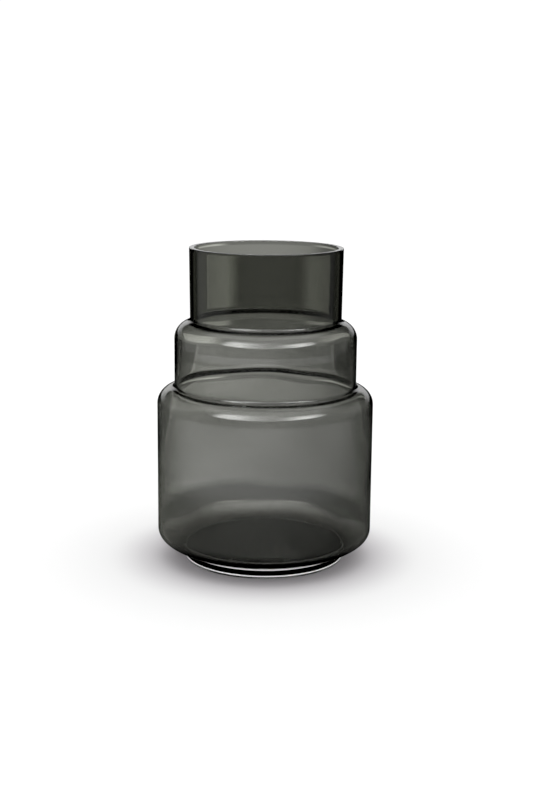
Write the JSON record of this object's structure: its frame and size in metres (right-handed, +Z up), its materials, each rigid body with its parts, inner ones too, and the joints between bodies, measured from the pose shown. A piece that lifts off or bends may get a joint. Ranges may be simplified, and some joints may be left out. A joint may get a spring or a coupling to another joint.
{
  "type": "stepped glass vase",
  "caption": "Smoke-grey blown-glass flower vase: cylindrical neck over a wider middle tier and a wide round-shouldered body, on a low clear glass foot.",
  "frame": {"origin": "on the vase's axis, in the plane of the ground ring that it stands on", "axes": "+Z up the axis towards the mouth; the vase is a body of revolution, so +X and +Y are free"},
  "size_m": [0.165, 0.165, 0.24],
  "materials": {
    "smoke_glass": "fire-polished, transparent smoke grey through the whole wall",
    "clear_glass": "polished, clear and colourless, ground ring underneath"
  },
  "bodies": {
    "root": {"smoke_glass_vessel": "smoke_glass", "clear_glass_foot": "clear_glass"}
  },
  "joints": []
}
